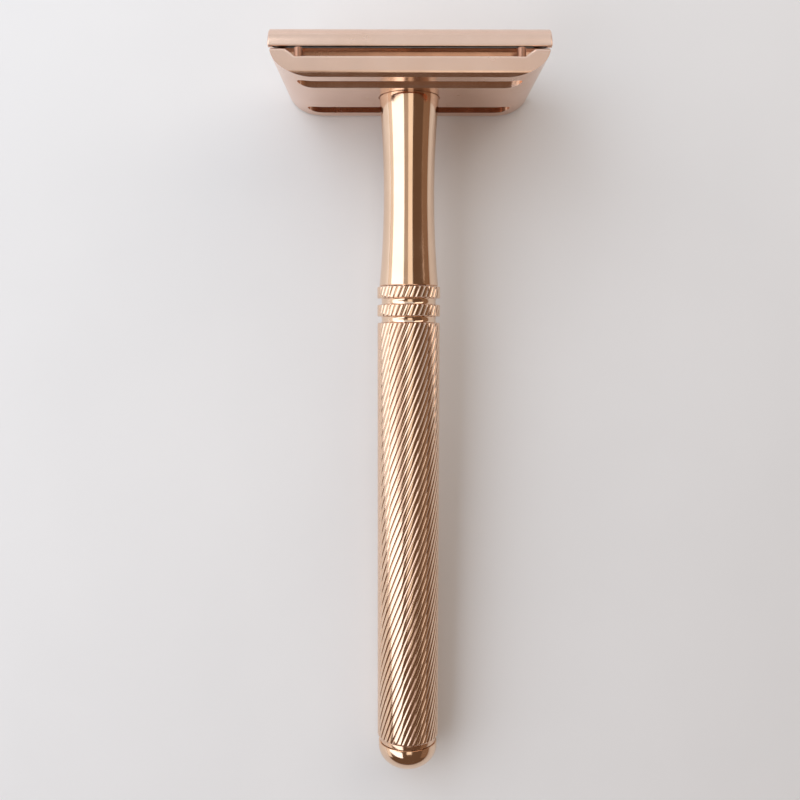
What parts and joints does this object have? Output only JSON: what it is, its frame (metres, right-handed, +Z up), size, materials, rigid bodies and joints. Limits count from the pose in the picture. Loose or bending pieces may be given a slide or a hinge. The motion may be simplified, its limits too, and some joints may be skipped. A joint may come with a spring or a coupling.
{
  "type": "safety razor",
  "caption": "Three-piece double-edge safety razor: arched cap, bent blade and solid-bar base plate clamped by a threaded handle with a waisted neck and spiral-fluted grip.",
  "frame": {"origin": "centre of the bounding box in X and Y, on the surface that the razor lies on", "axes": "+Y along the table from the domed end of the handle towards the head, +X along the blade, +Z up; the handle's own axis rises about 4 degrees towards the head"},
  "size_m": [0.043, 0.1214, 0.0252],
  "materials": {
    "cap_rose_gold": "satin-polished rose-gold plating",
    "base_rose_gold": "satin-polished rose-gold plating",
    "neck_rose_gold": "mirror-polished rose-gold plating",
    "grip_rose_gold": "polished rose-gold plating over rolled flutes",
    "ring_rose_gold": "polished rose-gold plating",
    "end_rose_gold": "mirror-polished rose-gold plating",
    "stud_steel": "machined thread",
    "pin_steel": "ground",
    "blade_steel": "polished stainless steel with ground edges",
    "insert_brass": "machined",
    "core_steel": "plain turned"
  },
  "bodies": {
    "base": {"base_plate": "base_rose_gold"},
    "blade": {"blade": "blade_steel"},
    "cap": {"top_cap": "cap_rose_gold", "cap_stud": "stud_steel", "cap_pin_left": "pin_steel", "cap_pin_right": "pin_steel"},
    "handle": {"neck": "neck_rose_gold", "neck_insert": "insert_brass", "grip": "grip_rose_gold", "core_rod": "core_steel", "end_ring": "ring_rose_gold", "end_cap": "end_rose_gold"}
  },
  "joints": [
    {"name": "handle_turn", "type": "hinge", "parent": "base", "child": "handle", "pos_m": [0, 0.05124, 0.01243], "axis": [0, -0.9976, -0.0687], "range_deg": [0, 6840]},
    {"name": "cap_lift", "type": "slide", "parent": "base", "child": "cap", "axis": [0, 0.9976, 0.0687], "range_m": [0, 0.01521]},
    {"name": "blade_lift", "type": "slide", "parent": "base", "child": "blade", "axis": [0, 0.9976, 0.0687], "range_m": [0, 0.00761]}
  ],
  "couplings": [
    {"joint": "cap_lift", "follows": "handle_turn", "m_per_rad": 0.00012732},
    {"joint": "blade_lift", "follows": "handle_turn", "m_per_rad": 0.000063662}
  ]
}
